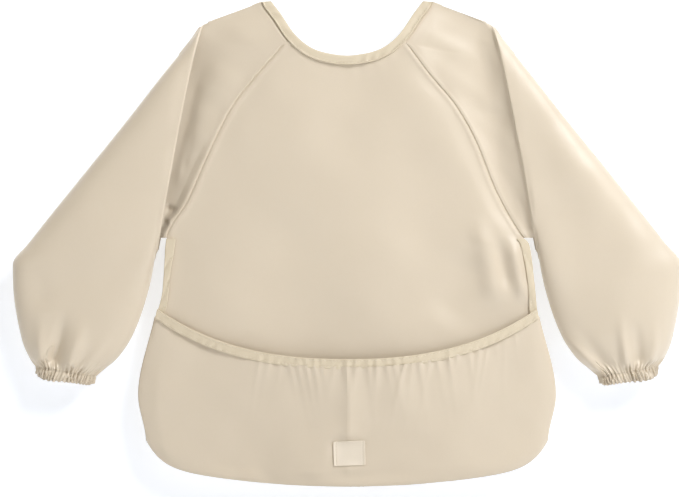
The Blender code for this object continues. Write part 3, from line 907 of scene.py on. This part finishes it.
def build_cuff(side):
    """Gathered cuff: the hem folded up as a channel, sewn round, with elastic inside."""
    sign = SIDES[side]
    drops = np.linspace(0, 1, 26)
    outer, out = cuff_rings(side, drops, 0.0)
    inner = cuff_rings(side, drops[::-1], 2.9)[0]
    grid = np.concatenate([outer, inner])
    grid[..., 0] *= sign
    toward = grid - grid.mean(axis=1, keepdims=True)
    toward[len(outer):] *= -1.0
    shape = Shape()
    shell(shape, grid, toward, 0.45, True)
    flip = np.array([sign, 1, 1])
    for u in (0.10, 0.84):
        ring = cuff_rings(side, [u], -0.12)[0][0]
        stitches(shape, ring * flip, np.vstack([out, out[:1]]) * flip, 2.4, 1.7, 0.2)
    shape.piece(f"cuff_cloth_{side}", (CUFF, THREAD),
                [f"cuff_casing_{side}"], f"sleeve_{side}")
    band = cuff_rings(side, np.linspace(0.22, 0.72, 12), 1.5)[0]
    band[..., 0] *= sign
    shape = Shape()
    shell(shape, band, band - band.mean(axis=1, keepdims=True), 0.6, True)
    shape.piece(f"elastic_{side}", (ELASTIC,),
                [f"cuff_elastic_{side}"], f"sleeve_{side}")


def build_underarm_fold(side):
    """Cloth tucked inside the crease."""
    sign = SIDES[side]
    steps, columns = 44, 26
    way = np.array([FOOT[1] - CORNER[1], 0, -(FOOT[0] - CORNER[0])], float)
    way = -way / np.linalg.norm(way)  # across the crease, away from the body
    rows = []
    front = np.linspace(0.02, 0.93, steps)
    turn = np.linspace(0, pi, 13)[1:-1]
    places = [(c, -1.0) for c in front]  # down the front, round the foot, up the back
    places += [(0.93 + 0.035 * sin(a), -cos(a)) for a in turn]
    places += [(c, 1.0) for c in front[::-1]]
    for c, face in places:
        x, z = crease(c)
        reach = min(20.0, 0.33 * hypot(x - CORNER[0], z - CORNER[1]))
        depth = 11.0 * sqrt(max(0.0, 1 - abs(2 * c - 1) ** 3)) - 2.6
        near_y = (front_y(x, z) + 1.7) if face < 0 else (back_y(x, z) + 0.6)
        middle = MID + (EDGE_Y + BACK_Y) / 2 + 1.0
        near_y = near_y if abs(face) == 1.0 else middle + face * 4.2
        far_y = MID + face * max(depth, 1.2) * 0.62
        t = np.linspace(0, 1, columns + 1)
        y = near_y + (far_y - near_y) * smooth(0, 1, t)
        row = np.column_stack([x + way[0] * reach * t, y, z + way[2] * reach * t])
        part = smooth(UNDERARM_BEND, UNDERARM_BEND + UNDERARM_BEND_LENGTH, reach * t)
        taut = 1 - 0.38 * part * (1 - part)  # taut = 1 - 0.38 * part * (1 - part) # draws the middle of the band in toward the top of the crease
        row[:, 0] = CORNER[0] + (row[:, 0] - CORNER[0]) * taut
        row[:, 2] = CORNER[1] + (row[:, 2] - CORNER[1]) * taut
        rows.append(row)
    grid = np.array(rows)
    toward = grid - np.array([grid[..., 0].mean(), MID, 300.0])
    toward[..., 0] = 0
    grid[..., 0] *= sign
    shape = Shape()
    shell(shape, grid, toward, 0.4)
    obj = shape.build(f"underarm_fold_{side}", FABRIC)
    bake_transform(obj)


# ---- pocket

def ridge(x, soft, left, right):
    """Pointed ridge along x = 0 that falls off at its own rate on each side."""
    return np.exp(-np.sqrt(x ** 2 + soft) / np.where(x < 0, left, right))


def pocket_relief(x, z):
    """Puckers under the bound mouth, soft waves, and a pressed crease down the middle."""
    t = np.clip(np.abs(x) / half_width(z), 0, 1)
    below = pocket_mouth(t) - BAND - z
    rng = np.random.default_rng(12)
    puckers = 0.0
    place = -72.0
    while place < 142.0:
        size = rng.uniform(0.8, 2.0) * (1.3 if 0 < place < 112 else 0.8)
        length = rng.uniform(6, 17)
        lean = rng.uniform(-0.25, 0.25)
        d = (x - place - lean * below) / rng.uniform(1.6, 2.6)
        puckers += size * np.exp(-d ** 2) * np.exp(-np.maximum(below, 0) / length)
        place += rng.uniform(6.0, 10.5)
    edge = (half_width(z) - np.abs(x)) * 0.95
    low = z - hem_height(t)
    calm = smooth(0, 16, edge) * smooth(0, 12, low)
    crest = 4.6 * ridge(x - 0.8, 3.0, 20.0, 30.0) + 1.5 * ridge(x - 0.8, 0.6, 4.5, 9.0)
    crest = crest * smooth(4, 22, low)
    waves = 1.9 * swell(x, z * 0.5, 78, 15) + 0.45 * swell(x, z * 0.7, 34, 16)
    hollow = stroke(x, z, ((-46, 92), (-33, 60), (-30, 30)), 13.0, -1.5)
    light = stroke(x, z, ((40, 92), (50, 62), (47, 30)), 15.0, 1.0)
    ripple = 0.95 * np.sin(x / 4.4 + np.sin(x / 17)) * bell(low, 4, 6.0) * bell(x, -62, 28)
    roll = -1.3 * np.exp(-np.maximum(low, 0) / 2.6) - 1.1 * np.exp(-np.maximum(edge, 0) / 2.6)
    flat = 1 - np.exp(-((x - 2) / 15) ** 4 - ((z - 27) / 12) ** 4)
    return calm * (waves + hollow + light + crest) * flat + puckers * calm + ripple + roll


def build_pocket(side):
    """Half of the pocket, its side and hem turned in, and half of its bound mouth."""
    sign = SIDES[side]
    blend = dict(start=(sign * 0.168, 0, 0), end=(sign * 0.020, 0, 0))
    columns, rows = 150, 96
    t = np.sin(0.5 * pi * np.arange(columns + 1) / columns)
    low, high = hem_height(t), pocket_mouth(t) - BAND + 1.5
    z = low + (high - low) * np.linspace(0, 1, rows + 1)[:, None]
    x = sign * t * half_width(z)
    grid = np.stack([x, pocket_y(x, z) - pocket_relief(x, z), z], -1)
    roll = []  # the hem turns back round the front panel
    for k in range(1, 7):
        a = pi / 2 * k / 6
        row = grid[0].copy()
        row[:, 1] = row[:, 1] + 3.4 * (1 - cos(a))
        row[:, 2] = row[:, 2] - 0.9 * sin(a) + 0.9 * (1 - cos(a))
        roll.append(row)
    grid = np.concatenate([np.array(roll)[::-1], grid])
    side_roll = []
    for k in range(1, 6):
        a = pi / 2 * k / 5
        column = grid[:, -1].copy()
        column[:, 0] = column[:, 0] + sign * (0.8 * sin(a) - 0.8 * (1 - cos(a)))
        column[:, 1] = column[:, 1] + 3.0 * (1 - cos(a))
        side_roll.append(column)
    grid = np.concatenate([grid, np.array(side_roll).transpose(1, 0, 2)], axis=1)
    shape = Shape()
    shell(shape, grid, (0, -1, 0))
    shape.piece(f"pocket_cloth_{side}", (POCKET_FABRIC,),
                ["pocket_panel"], "pocket", blend)

    t = np.linspace(0, 1, 170)
    top = pocket_mouth(t)
    edge = np.column_stack([sign * t * half_width(top), top])
    far = np.column_stack([sign * t * half_width(top - BAND), top - BAND])

    def face(px, pz):
        return pocket_y(px, pz) - 0.15 - 0.5 * pocket_relief(px, pz - 5) * (1 - t[:, None])

    def relief(run, u):
        at = sign * run
        groove = -0.30 * bell(u, 0.78, 0.07) - 0.22 * bell(u, 0.20, 0.07)
        wrinkle = np.sin(at / 1.5 + 2.4 * np.sin(at / 9) + 2.2 * u)
        return groove + 0.34 * wrinkle * smooth(0.1, 0.9, u)
    shape = Shape()
    tape(shape, edge, far, face, 2.4, relief)
    for share in (0.20, 0.78):
        line = edge * (1 - share) + far * share
        y = face(line[:, :1], line[:, 1:]) - 0.98
        stitches(shape, np.hstack([line[:, :1], y, line[:, 1:]])[1:-2])
    shape.piece(f"pocket_tape_{side}", (POCKET_BINDING, THREAD),
                ["pocket_binding"], "pocket", blend)


def build_label():
    """Blank woven label, sewn at both ends, with its left edge lifting a little."""
    low, high = cad_box("label_patch")
    centre = (low + high) / 2
    tilt = radians(LABEL_TILT)
    u, w = np.meshgrid(np.linspace(-1, 1, 60), np.linspace(-1, 1, 44))
    shrink = 1 - 0.012 * (np.abs(u) ** 8 * np.abs(w) ** 8)  # rounds the corners
    a, b = LABEL_HALF_SIZE[0] * u * shrink, LABEL_HALF_SIZE[1] * w * shrink
    lift = 0.55 * smooth(-0.72, -1.0, u) + 0.25 * (1 - w * w) * (1 - u * u)
    lift -= 0.30 * bell(np.abs(u), 0.84, 0.05)
    x = centre[0] + a * cos(tilt) - b * sin(tilt)
    z = centre[2] + a * sin(tilt) + b * cos(tilt)
    y = pocket_y(x, z) - pocket_relief(x, z) - 0.9 - lift
    shape = Shape()
    shell(shape, np.stack([x, y, z], -1), (0, -1, 0), 0.5)
    for column in (5, 54):
        path = np.column_stack([x[3:-3, column], y[3:-3, column] - 0.05, z[3:-3, column]])
        stitches(shape, path, pitch=2.2, length=1.6, radius=0.18)
    shape.piece("woven_patch", (LABEL, THREAD), ["label_patch"], "pocket")


# ---- back

def build_back(side):
    """Half of the short back, and the neck tape sewn along it."""
    sign = SIDES[side]
    blend = dict(start=(sign * 0.0615, 0, 0.394), end=(sign * 0.050, 0, 0.366))
    neck = offset(along(NECK_BACK, np.linspace(0, 1, 60)), BAND - 0.8)
    centre = np.column_stack([np.full(60, 2.0), np.linspace(UNDERARM, neck[0, 1], 60)])
    inner = np.vstack([centre[:-1], neck])
    rows, columns = 110, 84
    inner = resample(inner, rows + 1)
    seam = resample(BACK_SEAM, rows + 1)
    u = eased(columns)
    flat = inner[:, None] + (seam - inner)[:, None] * u[None, :, None]
    x, z = flat[..., 0], flat[..., 1]
    width = np.linalg.norm(seam - inner, axis=1)[:, None]
    near, far = u * width, (1 - u) * width
    hem = z - UNDERARM
    calm = smooth(0, 16, near) * smooth(0, 14, far) * smooth(0, 14, hem)
    seed = 61 if side == "left" else 67
    relief = calm * (0.8 * swell(x, z, 78, seed) + 0.3 * swell(x, z, 34, seed + 1))
    relief += seam_relief(far, 0.3)
    relief += hem_relief(hem, 3.0, 2.6, 7.5, 0.8)
    relief -= 0.3 * bell(near, 9.0, 0.9)
    grid = np.stack([x * sign, back_y(x, z) + 1.4 + relief, z], -1)
    shape = Shape()
    shell(shape, grid, (0, 1, 0))
    for height in (2.0, 6.4):
        hem_stitches(shape, sign, (3.5, 145), 80, height, back_y, -1.9)
    line = np.column_stack([np.full(60, 9.4), np.linspace(UNDERARM + 3, 326, 60)])
    stitches(shape, lay(line, back_y, -1.5) * [sign, 1, 1], (0, 1, 0))
    shape.piece(f"back_cloth_{side}", (FABRIC, THREAD),
                [f"back_panel_{side}"], f"back_{side}", blend)

    line = along(NECK_BACK, np.linspace(0, 1, 90))
    low = offset(line, BAND - 0.6)
    flip = np.array([sign, 1])

    def face(px, pz):
        return back_y(px, pz) + 0.75

    def relief_at(run, u_):
        return 0.12 * np.sin(run / 1.7 + np.sin(run / 8)) * u_
    shape = Shape()
    tape(shape, line * flip, low * flip, face, 2.7, relief_at)
    line = (line * 0.2 + low * 0.8) * flip
    for lift, out in ((-1.40, 1), (1.40, -1)):
        stitches(shape, lay(line, face, lift)[2:-2], (0, out, 0))
    shape.piece(f"neck_tape_back_{side}", (BINDING, THREAD),
                [f"neck_binding_back_{side}"], f"back_{side}", blend)


def build_closure():
    """Two-layer tab with an edge stitch; the hook and loop patches keep their CAD shape."""
    low, high = cad_box("closure_tab")
    centre, half = (low + high) / 2, (high - low) / 2
    u, w = np.meshgrid(np.linspace(-1, 1, 72), np.linspace(-1, 1, 44))
    pull = 1 - 0.055 * np.abs(u) ** 6 * np.abs(w) ** 6
    x = centre[0] + (half[0] - 0.1) * u * pull
    z = centre[2] + (half[2] - 0.1) * w * pull
    rim = np.minimum((1 - np.abs(u)) * half[0], (1 - np.abs(w)) * half[2])
    puff = 0.75 * smooth(0, 2.0, rim) - 0.30 * bell(rim, 2.4, 0.5)
    y = low[1] + 0.75 + puff
    shape = Shape()
    shell(shape, np.stack([x, y, z], -1), (0, 1, 0), 0.9)
    a, b = half[0] - 2.6, half[2] - 2.6
    loop = [(-a, -b), (a, -b), (a, b), (-a, b), (-a, -b)]
    path = resample(np.array([(centre[0] + p, low[1] + 1.42, centre[2] + q)
                              for p, q in loop]), 120)
    stitches(shape, path, (0, 1, 0))
    shape.piece("closure_flap", (FABRIC, THREAD), ["closure_tab"], "tab")
    for node in ("hook_patch", "loop_patch"):
        frame["nodes"][node].material_slots[0].material = PILE


def build_tie(side):
    """Woven waist tie, hanging in a gentle wave."""
    sign = SIDES[side]
    root = joints[f"tie_{side}_swing"]
    low, high = cad_box(f"waist_tie_{side}")
    depth = (low[1] + high[1]) / 2
    angle = radians(TIE_SLOPE)
    way = np.array([-cos(angle), -sin(angle)])
    across = np.array([-way[1], way[0]])
    run = np.linspace(0, TIE_LENGTH, 120)
    bend = 1.3 * np.sin(run / 31) * smooth(10, 60, run)
    centre = np.array([abs(root[0]), root[2]]) + way * run[:, None] + across * bend[:, None]
    edge, far = centre + across * TIE_HALF_WIDTH, centre - across * TIE_HALF_WIDTH
    flip = np.array([sign, 1])

    def face(px, pz):
        return depth + 0.0 * px

    def relief(at, u):
        return -0.16 * bell(u, 0.12, 0.05) - 0.16 * bell(u, 0.88, 0.05)
    shape = Shape()
    tape(shape, edge * flip, far * flip, face, 1.3, relief)
    for share in (0.12, 0.88):
        line = (edge * (1 - share) + far * share) * flip
        for lift, out in ((-0.52, 1), (0.52, -1)):
            stitches(shape, lay(line, face, lift)[2:-2], (0, out, 0))
    shape.piece(f"tie_tape_{side}", (BINDING, THREAD),
                [f"waist_tie_{side}"], f"tie_{side}")


# ---- stage

def plane(name, corners, mat):
    mesh = bpy.data.meshes.new(name)
    mesh.from_pydata(corners, [], [(0, 1, 2, 3)])
    mesh.materials.append(mat)
    add_object(name, mesh)


def build_stage():
    """Pale sheet right behind the garment, seen only from the front, and a pale floor."""
    n = Nodes("paper")
    fill(n.shader, {"Base Color": (0.66, 0.71, 0.80, 1), "Emission Color": (1, 1, 1, 1),
                    "Emission Strength": 0.47, "Roughness": 0.9, "Specular IOR Level": 0.1})
    clear = n.new("ShaderNodeBsdfTransparent")
    mix = n.new("ShaderNodeMixShader")
    back = n.new("ShaderNodeNewGeometry").outputs["Backfacing"]
    shadow = n.new("ShaderNodeLightPath").outputs["Is Shadow Ray"]
    n.link(n.maths("MAXIMUM", back, shadow), mix.inputs[0])
    n.link(n.shader.outputs[0], mix.inputs[1])
    n.link(clear.outputs[0], mix.inputs[2])
    n.link(mix.outputs[0], n.tree.nodes["Material Output"].inputs["Surface"])
    y = cad_bounds[1].y + SHEET_GAP
    plane("backdrop", [(-2, y, FLOOR), (2, y, FLOOR), (2, y, 2.5), (-2, y, 2.5)], n.mat)
    f = Nodes("floor")
    fill(f.shader, {"Base Color": (0.80, 0.805, 0.815, 1), "Roughness": 0.85,
                    "Emission Color": ROOM})
    seen = f.new("ShaderNodeLightPath").outputs["Is Camera Ray"]
    away = f.new("ShaderNodeVectorMath", operation="LENGTH")
    f.link(f.place, away.inputs[0])  # the far floor fades into the room
    glow = f.span(away.outputs["Value"], 0.6, 4.0, 0.40, 0.72)
    f.link(f.maths("MULTIPLY", seen, glow), f.shader.inputs["Emission Strength"])
    corners = [(FLOOR_REACH * a, FLOOR_REACH * b, FLOOR)
               for a, b in ((-1, -1), (1, -1), (1, 1), (-1, 1))]
    plane("floor", corners, f.mat)


def add_light(target, name, spot, size, power, colour):
    data = bpy.data.lights.new(name, "AREA")
    data.shape, data.size, data.energy, data.color = "DISK", size, power, colour
    obj = add_object(name, data)
    obj.location = spot
    obj.rotation_euler = (target - Vector(spot)).to_track_quat("-Z", "Y").to_euler()


def build_light_and_camera():
    scene = bpy.context.scene
    world = bpy.data.worlds.new("studio")  # warm soft light all round, seen as a pale room
    world.use_nodes = True
    nodes, links = world.node_tree.nodes, world.node_tree.links
    light = nodes["Background"]
    fill(light, {"Color": (1.0, 0.87, 0.66, 1), "Strength": 0.28})
    room = nodes.new("ShaderNodeBackground")
    fill(room, {"Color": ROOM})
    mix = nodes.new("ShaderNodeMixShader")
    links.new(nodes.new("ShaderNodeLightPath").outputs["Is Camera Ray"], mix.inputs[0])
    links.new(light.outputs[0], mix.inputs[1])
    links.new(room.outputs[0], mix.inputs[2])
    links.new(mix.outputs[0], nodes["World Output"].inputs["Surface"])
    scene.world = world
    scene.view_settings.view_transform = "Standard"
    low, high = cad_bounds
    middle = (low + high) / 2
    for lamp in LAMPS:
        add_light(middle, *lamp)
    camera = bpy.data.cameras.new("camera")
    camera.sensor_width = SENSOR
    camera.lens = SENSOR * CAMERA_DISTANCE / VIEW_WIDTH
    obj = add_object("camera", camera)
    obj.location = (middle.x + CAMERA_SHIFT[0], -CAMERA_DISTANCE, middle.z + CAMERA_SHIFT[1])
    obj.rotation_euler = (radians(90.0), 0.0, 0.0)
    scene.camera = obj


build_front_panel()
build_neck_binding()
build_label()
build_closure()
for a_side in SIDES:
    build_side_binding(a_side)
    build_raglan(a_side)
    build_underarm_fold(a_side)
    build_sleeve(a_side)
    build_pocket(a_side)
    build_back(a_side)
    build_tie(a_side)
build_stage()
build_light_and_camera()
